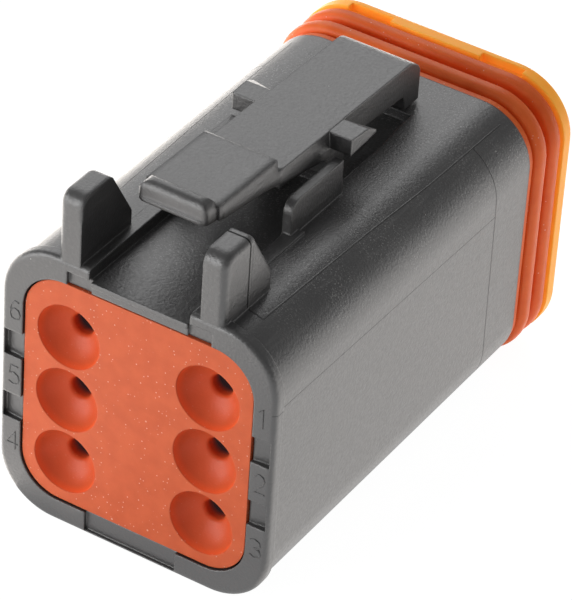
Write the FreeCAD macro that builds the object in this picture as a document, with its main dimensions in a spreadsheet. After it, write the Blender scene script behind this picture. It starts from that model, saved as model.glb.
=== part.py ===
import FreeCAD, Part
import math
import os
import Sketcher

# A six-way sealed plug for a vehicle's wiring loom, in millimetres.
# +Y runs along the plug from the wire side to the mating side, +X is right as seen by the wires,
# and +Z is up, where the latch is. The datum of every piece is the centre of the two columns of
# three contacts, in the plane of the rear face. Each piece is then placed so that the plug stands
# on its underside with the middle of its length at the origin.

Vector = FreeCAD.Vector

# name, size, what it is
SIZES = [
    ("body_width", 20.2, "outside width of the housing"),
    ("body_top_height", 10.77, "contact centre to the top of the housing"),
    ("body_bottom_height", 9.8, "contact centre to the underside of the housing"),
    ("body_corner", 4.0, "outside corner radius of the housing"),
    ("body_length", 31.4, "rear face to the edge that the front seal sits on"),
    ("rim_proud", 0.2, "how far the rear rim stands out"),
    ("rim_length", 0.9, "length of the rear rim"),
    ("rim_round", 0.4, "rounding of the rear rim's edge"),
    ("row_pitch", 5.0, "contact to contact down a column"),
    ("column_spacing", 10.47, "column to column"),
    ("pocket_side_wall", 1.43, "wall of the housing beside the grommet's pocket"),
    ("pocket_top_wall", 1.6, "wall of the housing above that pocket"),
    ("pocket_bottom_wall", 1.53, "wall of the housing below that pocket"),
    ("grommet_corner", 2.9, "corner radius of the grommet"),
    ("grommet_length", 10.2, "length of the grommet"),
    ("grommet_setback", 0.15, "how far the grommet lies inside the rim"),
    ("grommet_gap", 0.12, "gap between the grommet and its pocket"),
    ("cup_radius", 2.37, "radius of a wire cup at the grommet's face"),
    ("cup_depth", 1.6, "depth of a wire cup"),
    ("mouth_round", 0.35, "rounding where a cup runs into its wire hole"),
    ("wire_hole", 0.75, "radius of a sealing lip in the grommet"),
    ("lip_groove", 1.15, "radius between two sealing lips"),
    ("lip_length", 0.9, "length of one sealing lip"),
    ("lip_spacing", 2.7, "lip to lip"),
    ("cavity_radius", 1.65, "radius of a contact cavity behind its shoulder"),
    ("cavity_front", 1.4, "radius of a contact cavity in the nose"),
    ("shoulder_depth", 27.0, "rear face to the shoulder that stops a contact"),
    ("nose_inset", 2.0, "how far the nose lies inside the housing's outline"),
    ("nose_corner", 2.2, "corner radius of the nose"),
    ("nose_length", 3.9, "how far the nose stands out of the housing"),
    ("slot_width", 4.5, "width of the slot between the two columns"),
    ("slot_top_wall", 1.37, "wall of the nose above the slot"),
    ("slot_bottom_wall", 1.2, "wall of the nose below the slot"),
    ("slot_length", 13.2, "depth of the slot behind the nose's face"),
    ("window_height", 2.9, "height of the window beside a contact"),
    ("window_start", 19.0, "rear face to the root of a lock finger"),
    ("window_length", 7.4, "length of the window beside a contact"),
    ("finger_thickness", 0.7, "thickness of a lock finger"),
    ("finger_height", 2.1, "height of a lock finger"),
    ("finger_length", 6.4, "length of a lock finger"),
    ("finger_tooth", 1.0, "how far a finger's tooth stands into the cavity"),
    ("tooth_length", 2.0, "length of that tooth along the finger"),
    ("tooth_flat", 0.5, "length of the tooth's highest part"),
    ("finger_clearance", 0.15, "slot to the back of a finger"),
    ("seal_gap", 0.05, "gap between the front seal and the nose"),
    ("seal_length", 3.95, "length of the front seal"),
    ("seal_land", 0.55, "length of the seal's lip against the housing"),
    ("land_inset", 0.1, "how far that lip lies inside the housing's outline"),
    ("rib_proud", 0.3, "how far a rib stands out past the housing"),
    ("rib_width", 1.2, "width of a rib"),
    ("rib_round", 0.5, "rounding of a rib's crest"),
    ("rib_one", 0.85, "housing to the near side of the first rib"),
    ("rib_two", 2.7, "housing to the near side of the second rib"),
    ("groove_inset", 0.5, "how deep the seal lies between its ribs, inside the housing's outline"),
    ("flange_proud", 0.36, "how far the wedge's flange stands out past the housing"),
    ("flange_gap", 0.05, "gap between the seal and the flange"),
    ("flange_thickness", 1.05, "thickness of the wedge's flange"),
    ("flange_round", 0.3, "rounding of the flange's front edge"),
    ("notch_start", 3.5, "middle to the near side of a notch in the flange"),
    ("notch_width", 3.3, "width of a notch in the flange"),
    ("notch_depth", 0.5, "how far a notch reaches into the flange"),
    ("notch_sink", 0.3, "how far a notch reaches below the housing's top"),
    ("pin_hole", 1.1, "radius of a pin's hole in the flange"),
    ("pin_countersink", 0.35, "countersink of a pin's hole"),
    ("blade_gap", 0.05, "gap between the wedge's blade and the slot"),
    ("blade_end_gap", 0.7, "end of the wedge's blade to the bottom of the slot"),
    ("blade_wall", 0.9, "wall of the hollow blade"),
    ("bridge_height", 1.4, "height of the bar across the hollow blade, for a pulling tool"),
    ("bridge_depth", 1.5, "length of that bar along the blade"),
    ("bridge_setback", 0.6, "how far that bar lies inside the flange's face"),
    ("channel_width", 7.5, "width of the channel in the housing's top"),
    ("channel_depth", 0.7, "depth of that channel"),
    ("latch_bay_width", 7.04, "width of the channel under the latch"),
    ("narrow_start", 22.8, "rear face to where the channel starts to narrow"),
    ("narrow_end", 25.3, "rear face to where it has narrowed"),
    ("narrow_width", 6.54, "width of the channel's front end"),
    ("latch_bay_front", 27.05, "rear face to the front end of the channel"),
    ("rail_width", 1.0, "width of a rail beside the channel"),
    ("rail_height", 0.2, "height of a rail above the housing's top"),
    ("rail_start", 0.35, "rear face to the rear end of a rail"),
    ("rail_round", 0.35, "rounding of a rail's rear end"),
    ("fin_inside", 3.62, "middle to the inner face of a guard fin"),
    ("fin_thickness", 0.65, "thickness of a guard fin"),
    ("fin_start", 10.6, "rear face to the rear end of a fin"),
    ("fin_front", 16.7, "rear face to the front end of a fin"),
    ("fin_height", 2.6, "height of a fin above the housing's top"),
    ("fin_round", 0.9, "rounding of a fin's upper rear corner"),
    ("post_inside", 4.45, "middle to the inner face of a guard post"),
    ("post_width", 1.7, "width of a guard post"),
    ("post_rear", 0.06, "rear face to the rear face of a post"),
    ("post_depth", 5.6, "length of a post's foot"),
    ("post_top_front", 3.25, "rear face to the front end of a post's top"),
    ("post_knee", 1.3, "height of a post's upright front above the housing's top"),
    ("post_height", 5.22, "height of a post above the housing's top"),
    ("post_rear_round", 0.95, "rounding of a post's upper rear corner"),
    ("post_front_round", 0.6, "rounding of a post's upper front corner and of its knee"),
    ("post_edge_round", 0.5, "rounding of a post's outer edges"),
    ("hinge_from_rear", 18.2, "rear face to the line where the latch flexes"),
    ("hinge_height", 0.35, "height of that line above the housing's top"),
    ("hinge_radius", 0.55, "radius of the rounded web that carries the latch"),
    ("hinge_gap", 0.05, "running gap of the latch on its web"),
    ("hinge_width", 4.6, "width of the web that carries the latch"),
    ("saddle_wall", 0.45, "wall of the latch round its web"),
    ("arm_width", 5.5, "width of the latch's arm"),
    ("arm_height", 4.15, "top of the arm above the housing's top, at the pad"),
    ("arm_drop", 0.5, "how much lower the arm's front end is"),
    ("arm_front", 29.0, "rear face to the front end of the latch"),
    ("arm_corner", 0.5, "rounding of the arm's two front corners"),
    ("arm_underside", 1.45, "underside of the arm above the housing's top, at the hook"),
    ("hook_length", 2.4, "length of the hook"),
    ("hook_clearance", 0.3, "hook to the housing's top"),
    ("hook_lean", 0.35, "how far the hook's ends lean"),
    ("nose_round", 2.0, "rounding of the latch's front end"),
    ("pad_rear", 3.15, "rear face to the rear end of the thumb pad"),
    ("pad_front", 11.35, "rear face to the front end of the thumb pad"),
    ("pad_height", 5.06, "top of the pad above the housing's top, at its front"),
    ("pad_rise", 0.2, "how much higher the pad's rear end is"),
    ("pad_thickness", 0.9, "thickness of the pad's rear end"),
    ("lever_bend", 9.55, "rear face to where the lever's underside turns down"),
    ("lever_fall", 0.8, "how much lower its underside is there than at the pad's rear end"),
    ("pad_width", 5.9, "width of the pad at its foot"),
    ("pad_draft", 0.4, "how far each side of the lever leans in"),
    ("flank_foot", 2.7, "height above the housing's top from which it leans"),
    ("ridge_length", 1.3, "length of the ridge across the pad's rear end"),
    ("ridge_height", 5.82, "top of the ridge above the housing's top"),
    ("ridge_round", 0.55, "rounding of the ridge"),
    ("ridge_end_round", 0.9, "rounding of the ridge's two ends"),
    ("ridge_corner", 0.85, "rounding of the pad's rear corners, seen from above"),
    ("ridge_lip_height", 0.2, "thickness of the thin lip under the ridge"),
    ("ridge_lip_reach", 0.13, "how far that lip stands out behind the ridge"),
    ("pad_edge_round", 0.45, "rounding of the pad's front edge"),
    ("ear_rear", 17.1, "rear face to the rear face of an ear"),
    ("ear_length", 2.75, "length of an ear at its outer side"),
    ("ear_root_length", 1.8, "length of an ear at the arm"),
    ("ear_reach", 4.68, "middle to the outer face of an ear"),
    ("ear_flare", 0.18, "how much nearer to the middle an ear's outer rear corner is"),
    ("ear_step", 0.03, "how far an ear's top lies under the arm's top"),
    ("ear_underside", 2.75, "underside of an ear above the housing's top, at its rear"),
    ("ear_slope", 0.55, "how far an ear's top falls towards its front"),
    ("ear_tip", 0.22, "thickness of an ear's front end"),
    ("mark_depth", 0.28, "depth of the recesses in the rear rim, beside the grommet"),
    ("side_mark_depth", 0.44, "depth of a side recess at its outer wall"),
    ("mark_inside", 3.58, "middle to the near side of an upper recess"),
    ("mark_outside", 5.4, "middle to the far side of an upper recess"),
    ("mark_height", 1.03, "height of an upper recess above the grommet's pocket"),
    ("mark_wall", 0.27, "wall of the rim left outside a side recess"),
    ("side_mark_height", 2.0, "height of a side recess"),
    ("side_mark_rise", 0.25, "how far it lies above the middle between two contacts"),
    ("foot_mark_width", 7.0, "width of the lower recess"),
    ("sill_height", 0.53, "height of the sunk strip under the channel's rear edge"),
    ("sill_depth", 0.12, "depth of that strip"),
]

doc = FreeCAD.newDocument("sealed_plug")
sheet = doc.addObject("Spreadsheet::Sheet", "sizes")


class Size:
    """A length in millimetres with the formula on the sheet that gives it."""

    def __init__(self, number, formula):
        self.number = float(number)
        self.formula = formula

    def join(self, other, sign, number):
        return Size(number, "(%s %s %s)" % (self.formula, sign, formula_of(other)))

    def __add__(self, other):
        return self.join(other, "+", self.number + number_of(other))

    def __sub__(self, other):
        return self.join(other, "-", self.number - number_of(other))

    def __mul__(self, other):
        return self.join(other, "*", self.number * number_of(other))

    def __truediv__(self, other):
        return self.join(other, "/", self.number / number_of(other))

    def __neg__(self):
        return Size(-self.number, "(0 - %s)" % self.formula)

    def root(self):
        return Size(math.sqrt(self.number), "sqrt(%s)" % self.formula)


def number_of(value):
    return value.number if isinstance(value, Size) else float(value)


def formula_of(value):
    return value.formula if isinstance(value, Size) else "%.6g" % value


def fill_sheet():
    """Puts each size on the sheet and gives it back as a Size."""
    cells = {}
    for row, (name, size, meaning) in enumerate(SIZES, start=1):
        sheet.set("A%d" % row, meaning)
        sheet.set("B%d" % row, "%g" % size)
        sheet.setAlias("B%d" % row, name)
        cells[name] = Size(size, "sizes." + name)
    doc.recompute()
    return cells


mm = fill_sheet()
ZERO = Size(0, "0")


def bind(item, prop, value):
    """Sets a property of a feature to a size and ties it to the sheet."""
    item.setExpression(prop, formula_of(value))


def origin_feature(body, role):
    return [item for item in body.Origin.OriginFeatures if item.Role == role][0]


def sketch_on(body, name, role, offset=ZERO):
    """An empty sketch on one of the body's own planes, moved along the plane's normal by offset."""
    sketch = body.newObject("Sketcher::SketchObject", name)
    sketch.AttachmentSupport = (origin_feature(body, role), [""])
    sketch.MapMode = "FlatFace"
    bind(sketch, "AttachmentOffset.Base.z", offset)
    return sketch


def tie(sketch, kind, *where, value):
    """Adds a measured constraint and ties it to the sheet."""
    index = sketch.addConstraint(Sketcher.Constraint(kind, *where, number_of(value)))
    if isinstance(value, Size):
        sketch.setExpression("Constraints[%d]" % index, value.formula)


def pin_point(sketch, geometry, end, x, y):
    tie(sketch, "DistanceX", -1, 1, geometry, end, value=x)
    tie(sketch, "DistanceY", -1, 1, geometry, end, value=y)


def corner_cut(before, corner, after, radius):
    """Where an arc of the radius leaves and meets the two sides of a corner, and its centre."""
    a = (before - corner).normalize()
    b = (after - corner).normalize()
    half = a.getAngle(b) / 2
    reach = radius / math.tan(half)
    middle = (a + b).normalize()
    return corner + a * reach, corner + b * reach, corner + middle * (radius / math.sin(half))


def outline(sketch, corners):
    """A closed outline of straight sides. A corner is (x, y) or, where it is rounded, (x, y, radius)."""
    points = [Vector(number_of(c[0]), number_of(c[1]), 0) for c in corners]
    count = len(points)
    leaves, meets, centres = [], [], []
    for i, corner in enumerate(corners):
        if len(corner) == 3:
            cut = corner_cut(points[i - 1], points[i], points[(i + 1) % count], number_of(corner[2]))
        else:
            cut = (points[i], points[i], None)
        meets.append(cut[0])
        leaves.append(cut[1])
        centres.append(cut[2])
    lines = [Part.LineSegment(leaves[i], meets[(i + 1) % count]) for i in range(count)]
    sides = [sketch.addGeometry(line, False) for line in lines]
    for i, corner in enumerate(corners):
        side_in, side_out = sides[i - 1], sides[i]
        if len(corner) == 2:
            sketch.addConstraint(Sketcher.Constraint("Coincident", side_in, 2, side_out, 1))
            pin_point(sketch, side_out, 1, corner[0], corner[1])
            continue
        start, end, centre = meets[i], leaves[i], centres[i]
        left_turn = (start - centre).cross(end - centre).z > 0
        first, last = (start, end) if left_turn else (end, start)
        angles = [math.atan2(p.y - centre.y, p.x - centre.x) for p in (first, last)]
        if angles[1] < angles[0]:
            angles[1] += 2 * math.pi
        circle = Part.Circle(centre, Vector(0, 0, 1), number_of(corner[2]))
        arc = sketch.addGeometry(Part.ArcOfCircle(circle, angles[0], angles[1]), False)
        mark = sketch.addGeometry(Part.Point(points[i]), True)
        pin_point(sketch, mark, 1, corner[0], corner[1])
        sketch.addConstraint(Sketcher.Constraint("PointOnObject", mark, 1, side_in))
        sketch.addConstraint(Sketcher.Constraint("PointOnObject", mark, 1, side_out))
        sketch.addConstraint(Sketcher.Constraint("Tangent", side_in, 2, arc, 1 if left_turn else 2))
        sketch.addConstraint(Sketcher.Constraint("Tangent", side_out, 1, arc, 2 if left_turn else 1))
        tie(sketch, "Radius", arc, value=corner[2])


def round_hole(sketch, x, y, radius):
    circle = Part.Circle(Vector(number_of(x), number_of(y), 0), Vector(0, 0, 1), number_of(radius))
    hole = sketch.addGeometry(circle, False)
    pin_point(sketch, hole, 3, x, y)
    tie(sketch, "Radius", hole, value=radius)


def box_corners(left, right, low, high, radius=None):
    """The four corners of a rectangle, rounded where a radius is given."""
    corners = [(left, low), (right, low), (right, high), (left, high)]
    return corners if radius is None else [(x, y, radius) for x, y in corners]


def pad(body, name, sketch, length, reverse=False, both_ways=False):
    feature = body.newObject("PartDesign::Pad", name)
    feature.Profile = sketch
    feature.Reversed = reverse
    if both_ways:
        feature.SideType = "Symmetric"
    bind(feature, "Length", length)
    doc.recompute()
    return feature


def pocket(body, name, sketch, length, reverse=False, both_ways=False):
    """Cuts a sketch into the body, and stops if nothing was cut."""
    before = body.Shape.Volume
    feature = body.newObject("PartDesign::Pocket", name)
    feature.Profile = sketch
    feature.Reversed = reverse
    if both_ways:
        feature.SideType = "Symmetric"
    bind(feature, "Length", length)
    doc.recompute()
    if not body.Shape.Volume < before:
        raise ValueError("%s cuts nothing: %s" % (name, feature.State))
    return feature


def mirror(body, name, features):
    """Repeats features on the other side of the middle plane."""
    feature = body.newObject("PartDesign::Mirrored", name)
    feature.Originals = features
    feature.MirrorPlane = (origin_feature(body, "YZ_Plane"), [""])
    body.Tip = feature
    doc.recompute()
    return feature


def round_edges(body, name, chosen, radius):
    """Rounds the edges of the body's last shape that chosen(edge) picks."""
    base = body.Tip
    names = ["Edge%d" % (i + 1) for i, edge in enumerate(base.Shape.Edges) if chosen(edge)]
    if not names:
        raise ValueError(name + " finds no edge")
    feature = body.newObject("PartDesign::Fillet", name)
    feature.Base = (base, names)
    bind(feature, "Radius", radius)
    doc.recompute()
    return feature


def bevel_edges(body, name, chosen, size):
    base = body.Tip
    names = ["Edge%d" % (i + 1) for i, edge in enumerate(base.Shape.Edges) if chosen(edge)]
    if not names:
        raise ValueError(name + " finds no edge")
    feature = body.newObject("PartDesign::Chamfer", name)
    feature.Base = (base, names)
    bind(feature, "Size", size)
    doc.recompute()
    return feature


def in_plane(edge, axis, place):
    """Whether the whole edge lies at one place along an axis."""
    box = edge.BoundBox
    low, high = {"x": (box.XMin, box.XMax), "y": (box.YMin, box.YMax), "z": (box.ZMin, box.ZMax)}[axis]
    return abs(low - number_of(place)) < SAME_PLACE and abs(high - number_of(place)) < SAME_PLACE


LIP_GROOVES = 2
SAME_PLACE = 1e-4

# Places that several pieces share
half_width = mm["body_width"] / 2
top = mm["body_top_height"]
bottom = -mm["body_bottom_height"]
pocket_side = half_width - mm["pocket_side_wall"]
pocket_top, pocket_bottom = top - mm["pocket_top_wall"], bottom + mm["pocket_bottom_wall"]
columns = [-mm["column_spacing"] / 2, mm["column_spacing"] / 2]
rows = [-mm["row_pitch"], ZERO, mm["row_pitch"]]
body_front = mm["body_length"]
nose_front = mm["body_length"] + mm["nose_length"]
flange_rear = mm["body_length"] + mm["seal_length"] + mm["flange_gap"]
flange_front = flange_rear + mm["flange_thickness"]
grommet_front = mm["grommet_setback"] + mm["grommet_length"]
slot_rear = nose_front - mm["slot_length"]
slot_top = top - mm["nose_inset"] - mm["slot_top_wall"]
slot_bottom = bottom + mm["nose_inset"] + mm["slot_bottom_wall"]
blade_rear = slot_rear + mm["blade_end_gap"]


def body_outline(sketch, grow, radius_grow=None):
    """The housing's outline, seen along Y, grown or shrunk all round."""
    radius = mm["body_corner"] + (grow if radius_grow is None else radius_grow)
    outline(sketch, box_corners(-half_width - grow, half_width + grow, bottom - grow, top + grow, radius))


def nose_outline(sketch, grow):
    inset = mm["nose_inset"] - grow
    outline(sketch, box_corners(-half_width + inset, half_width - inset, bottom + inset, top - inset,
                                mm["nose_corner"] + grow))


def grommet_outline(sketch, grow):
    """The grommet's outline, seen along Y. Grown by the grommet's gap, it is the outline of the pocket."""
    gap = mm["grommet_gap"] - grow
    outline(sketch, box_corners(-pocket_side + gap, pocket_side - gap, pocket_bottom + gap, pocket_top - gap,
                                mm["grommet_corner"] + grow))


def new_piece(name):
    body = doc.addObject("PartDesign::Body", name)
    body.Label = name
    bind(body, "Placement.Base.y", -flange_front / 2)
    bind(body, "Placement.Base.z", mm["body_bottom_height"] + mm["flange_proud"])
    return body


def make_housing():
    """The black moulding: shell, web with six cavities, nose, rails, fins, posts and the latch's web."""
    body = new_piece("housing")

    shell = sketch_on(body, "shell_outline", "XZ_Plane")
    body_outline(shell, ZERO)
    pad(body, "shell", shell, mm["body_length"], reverse=True)

    rim = sketch_on(body, "rim_outline", "XZ_Plane")
    body_outline(rim, mm["rim_proud"])
    pad(body, "rear_rim", rim, mm["rim_length"], reverse=True)
    round_edges(body, "rim_edge", lambda edge: in_plane(edge, "y", 0), mm["rim_round"])

    nose = sketch_on(body, "nose_outline", "XZ_Plane", -body_front)
    nose_outline(nose, ZERO)
    pad(body, "nose", nose, mm["nose_length"], reverse=True)

    hollow = sketch_on(body, "grommet_pocket_outline", "XZ_Plane")
    grommet_outline(hollow, mm["grommet_gap"])
    pocket(body, "grommet_pocket", hollow, grommet_front + mm["grommet_gap"])

    make_cavities(body)
    make_lock_fingers(body)
    make_channel(body)
    make_rails(body)
    make_fins(body)
    make_posts(body)
    make_latch_web(body)
    make_rim_recesses(body)
    return body


def make_cavities(body):
    """Six stepped holes for the contacts, wide behind the shoulder and narrow in the nose."""
    wide = sketch_on(body, "cavity_circles", "XZ_Plane")
    narrow = sketch_on(body, "cavity_front_circles", "XZ_Plane")
    for x in columns:
        for z in rows:
            round_hole(wide, x, z, mm["cavity_radius"])
            round_hole(narrow, x, z, mm["cavity_front"])
    pocket(body, "cavities", wide, mm["shoulder_depth"])
    pocket(body, "cavity_fronts", narrow, nose_front)


def make_lock_fingers(body):
    """The slot between the columns, a window to each contact, and the springy finger in each window."""
    half_slot = mm["slot_width"] / 2
    slot = sketch_on(body, "slot_outline", "XZ_Plane", -slot_rear)
    outline(slot, box_corners(-half_slot, half_slot, slot_bottom, slot_top))
    pocket(body, "wedge_slot", slot, mm["slot_length"])

    reach = mm["column_spacing"] / 2 - mm["cavity_radius"] / 2
    half_window = mm["window_height"] / 2
    windows = sketch_on(body, "window_outlines", "XZ_Plane", -mm["window_start"])
    for z in rows:
        outline(windows, box_corners(-reach, reach, z - half_window, z + half_window))
    pocket(body, "finger_windows", windows, mm["window_length"])

    back = half_slot + mm["finger_clearance"]
    face = back + mm["finger_thickness"]
    tooth = face + mm["finger_tooth"]
    root = mm["window_start"] - mm["finger_thickness"]
    tip = mm["window_start"] + mm["finger_length"]
    for name, z in zip(("lower", "middle", "upper"), rows):
        finger = sketch_on(body, name + "_finger_outline", "XY_Plane", z - mm["finger_height"] / 2)
        outline(finger, [(back, root), (face, root), (face, tip - mm["tooth_length"]),
                         (tooth, tip - mm["tooth_flat"]), (tooth, tip), (back, tip)])
        first = pad(body, name + "_finger", finger, mm["finger_height"])
        mirror(body, name + "_fingers", [first])


def make_channel(body):
    """The channel along the top that the latch stands over. It narrows towards its front end."""
    wide, bay, narrow = mm["channel_width"] / 2, mm["latch_bay_width"] / 2, mm["narrow_width"] / 2
    side = [(narrow, mm["latch_bay_front"]), (narrow, mm["narrow_end"]), (bay, mm["narrow_start"]),
            (bay, mm["fin_start"]), (wide, mm["fin_start"]), (wide, -mm["channel_depth"])]
    plan = sketch_on(body, "channel_outline", "XY_Plane", top - mm["channel_depth"])
    outline(plan, [(-x, y) for x, y in reversed(side)] + side)
    pocket(body, "channel", plan, mm["channel_depth"] * 2, reverse=True)


def make_rails(body):
    """The low rails beside the channel, each with a rounded rear end."""
    inside = mm["channel_width"] / 2
    high = top + mm["rail_height"]
    low = top - mm["channel_depth"]
    rail = sketch_on(body, "rail_outline", "YZ_Plane", inside)
    outline(rail, [(mm["rail_start"], low), (mm["fin_start"] + mm["fin_round"], low),
                   (mm["fin_start"] + mm["fin_round"], high), (mm["rail_start"], high, mm["rail_round"])])
    first = pad(body, "right_rail", rail, mm["rail_width"])
    mirror(body, "rails", [first])


def make_fins(body):
    """A thin fin on each side of the latch, which its ears come down behind."""
    start, front, high = mm["fin_start"], mm["fin_front"], top + mm["fin_height"]
    foot = top - mm["channel_depth"]
    fin = sketch_on(body, "fin_outline", "YZ_Plane", mm["fin_inside"])
    outline(fin, [(start, foot), (front, foot), (front, high), (start, high, mm["fin_round"])])
    first = pad(body, "right_fin", fin, mm["fin_thickness"])
    mirror(body, "fins", [first])


def make_posts(body):
    """The two posts that guard the thumb pad, upright behind and sloping in front."""
    rear, high = mm["post_rear"], top + mm["post_height"]
    front = rear + mm["post_depth"]
    foot = top - mm["channel_depth"] * 2
    bend = mm["post_front_round"]
    outside = mm["post_inside"] + mm["post_width"]
    for name, start in (("right_post", mm["post_inside"]), ("left_post", -outside)):
        post = sketch_on(body, name + "_outline", "YZ_Plane", start)
        outline(post, [(rear, foot), (front, foot), (front, top + mm["post_knee"], bend),
                       (mm["post_top_front"], high, bend), (rear, high, mm["post_rear_round"])])
        pad(body, name, post, mm["post_width"])

    def on_outer_face(edge):
        flat = in_plane(edge, "x", outside) or in_plane(edge, "x", -outside)
        return flat and edge.BoundBox.ZMax > number_of(top + mm["post_knee"] / 2)

    round_edges(body, "post_edges", on_outer_face, mm["post_edge_round"])


def make_latch_web(body):
    """The web across the channel that the latch is moulded on. It is thinnest at its rounded top."""
    radius = mm["hinge_radius"]
    middle = mm["hinge_from_rear"]
    axis = top + mm["hinge_height"]
    web = sketch_on(body, "latch_web_outline", "YZ_Plane")
    outline(web, box_corners(middle - radius, middle + radius, top - mm["channel_depth"] * 2, axis))
    pad(body, "latch_web", web, mm["hinge_width"], both_ways=True)
    crown = sketch_on(body, "latch_web_top", "YZ_Plane")
    round_hole(crown, middle, axis, radius)
    pad(body, "latch_web_crown", crown, mm["hinge_width"], both_ways=True)


def make_rim_recesses(body):
    """Recesses in the rear rim: two above the grommet, four beside it, one below, and a sunk sill."""
    overlap = mm["rail_start"]
    marks = sketch_on(body, "rim_recess_outlines", "XZ_Plane")
    half_foot = mm["foot_mark_width"] / 2
    edge = bottom - mm["rim_proud"] + mm["mark_wall"]
    outline(marks, box_corners(-half_foot, half_foot, edge, pocket_bottom + overlap))
    for side in (-1, 1):
        left, right = sorted((mm["mark_inside"] * side, mm["mark_outside"] * side), key=number_of)
        outline(marks, box_corners(left, right, pocket_top - overlap, pocket_top + mm["mark_height"]))
    pocket(body, "rim_recesses", marks, mm["mark_depth"])

    near, wall_at = pocket_side - overlap, half_width + mm["rim_proud"] - mm["mark_wall"]
    for name, between in (("lower", -mm["row_pitch"] / 2), ("upper", mm["row_pitch"] / 2)):
        foot = between + mm["side_mark_rise"] - mm["side_mark_height"] / 2
        plan = sketch_on(body, name + "_side_recess_outlines", "XY_Plane", foot)
        for side in (-1, 1):
            corners = [(near * side, -overlap), (wall_at * side, -overlap),
                       (wall_at * side, mm["side_mark_depth"]), (near * side, mm["mark_depth"])]
            outline(plan, corners[::side])
        pocket(body, name + "_side_recesses", plan, mm["side_mark_height"], reverse=True)

    sill = sketch_on(body, "sill_outline", "XZ_Plane")
    half_sill = mm["mark_inside"]
    outline(sill, box_corners(-half_sill, half_sill, pocket_top - overlap, pocket_top + mm["sill_height"]))
    pocket(body, "sill", sill, mm["sill_depth"])


def arm_top_at(y):
    """The height of the arm's sloping top at a distance from the rear face."""
    fall = mm["arm_drop"] * (y - mm["pad_front"]) / (mm["arm_front"] - mm["pad_front"])
    return top + mm["arm_height"] - fall


def make_release_latch():
    """The rocking latch: thumb pad and lever, arm, two ears, a saddle on its web, and the hook."""
    body = new_piece("release_latch")
    hinge = mm["hinge_from_rear"]
    axis = top + mm["hinge_height"]
    hook_rear = mm["arm_front"] - mm["hook_length"]
    hook_low = top + mm["hook_clearance"]
    under = top + mm["arm_underside"]
    saddle = mm["hinge_radius"] + mm["hinge_gap"] + mm["saddle_wall"]
    web_under = under + mm["arm_drop"]

    front, lean = mm["arm_front"], mm["hook_lean"]
    arm = sketch_on(body, "arm_outline", "YZ_Plane")
    rear = mm["pad_front"]
    outline(arm, [(rear, arm_top_at(rear)), (rear, web_under + mm["lever_fall"]), (hinge - saddle, web_under),
                  (hinge - saddle, axis), (hinge + saddle, axis), (hinge + saddle, web_under),
                  (hook_rear, under), (hook_rear + lean, hook_low), (front, hook_low),
                  (front - lean, arm_top_at(front), mm["nose_round"])])
    pad(body, "arm", arm, mm["arm_width"], both_ways=True)
    round_corners_in_plan(body, "arm_front_corners", mm["arm_width"] / 2, front, mm["arm_corner"], -1)

    pad_top = top + mm["pad_height"]
    pad_under = pad_top + mm["pad_rise"] - mm["pad_thickness"]
    ridge_front = mm["pad_rear"] + mm["ridge_length"]
    ridge_top = top + mm["ridge_height"]
    ridge_rear = mm["pad_rear"] + mm["ridge_lip_reach"]
    lip_top = pad_under + mm["ridge_lip_height"]
    lever = sketch_on(body, "lever_outline", "YZ_Plane")
    outline(lever, [(mm["pad_rear"], pad_under), (mm["lever_bend"], pad_under - mm["lever_fall"]),
                    (hinge - saddle, web_under), (hinge - saddle, arm_top_at(hinge - saddle)),
                    (mm["pad_front"], arm_top_at(mm["pad_front"])), (mm["pad_front"], pad_top),
                    (ridge_front, pad_top + mm["pad_rise"]), (ridge_front, ridge_top, mm["ridge_round"]),
                    (ridge_rear, ridge_top, mm["ridge_round"]), (ridge_rear, lip_top),
                    (mm["pad_rear"], lip_top)])
    pad(body, "lever", lever, mm["pad_width"], both_ways=True)
    trim_lever_flanks(body, hinge - saddle, ridge_top)
    make_ears(body)

    seat = sketch_on(body, "saddle_circle", "YZ_Plane")
    round_hole(seat, hinge, axis, mm["hinge_radius"] + mm["hinge_gap"])
    pocket(body, "saddle", seat, mm["arm_width"] * 2, both_ways=True)
    return body


def trim_lever_flanks(body, front, high):
    """Leans the sides of the lever inwards and rounds the ends of the pad's ridge."""
    foot = mm["pad_width"] / 2
    crown = foot - mm["pad_draft"]
    outside = foot + mm["pad_thickness"]
    over = high + mm["pad_thickness"]
    low = top + mm["flank_foot"]
    bend = mm["ridge_end_round"]
    end_low, end_in = high - bend * 2, crown - bend * 2
    flanks = sketch_on(body, "lever_flank_outlines", "XZ_Plane")
    ends = sketch_on(body, "ridge_end_outlines", "XZ_Plane")
    for sign in (-1, 1):
        flank = [(foot * sign, low), (outside * sign, low), (outside * sign, over), (crown * sign, over)]
        end = [(crown * sign, end_low), (outside * sign, end_low), (outside * sign, over),
               (end_in * sign, over), (end_in * sign, high), (crown * sign, high, bend)]
        outline(flanks, flank[::sign])
        outline(ends, end[::sign])
    pocket(body, "lever_flanks", flanks, front)
    pocket(body, "ridge_ends", ends, mm["pad_rear"] + mm["ridge_length"])
    widest = foot - mm["pad_draft"] / 2
    round_corners_in_plan(body, "pad_corners", widest, mm["pad_rear"], mm["ridge_corner"], 1)
    round_pad_front(body)


def round_corners_in_plan(body, name, half, end, radius, inwards):
    """Rounds the two corners at one end of the latch, seen from above. inwards is 1 at its rear end."""
    beyond, past = end + radius * 2 * inwards, end - radius * inwards
    middle = half - radius * 2
    plan = sketch_on(body, name + "_outlines", "XY_Plane", top)
    for sign in (-1, 1):
        cut = [(half * sign, beyond), ((half + radius) * sign, beyond), ((half + radius) * sign, past),
               (middle * sign, past), (middle * sign, end), (half * sign, end, radius)]
        outline(plan, cut[::sign * inwards])
    pocket(body, name, plan, mm["ridge_height"] * 2, reverse=True)


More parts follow.
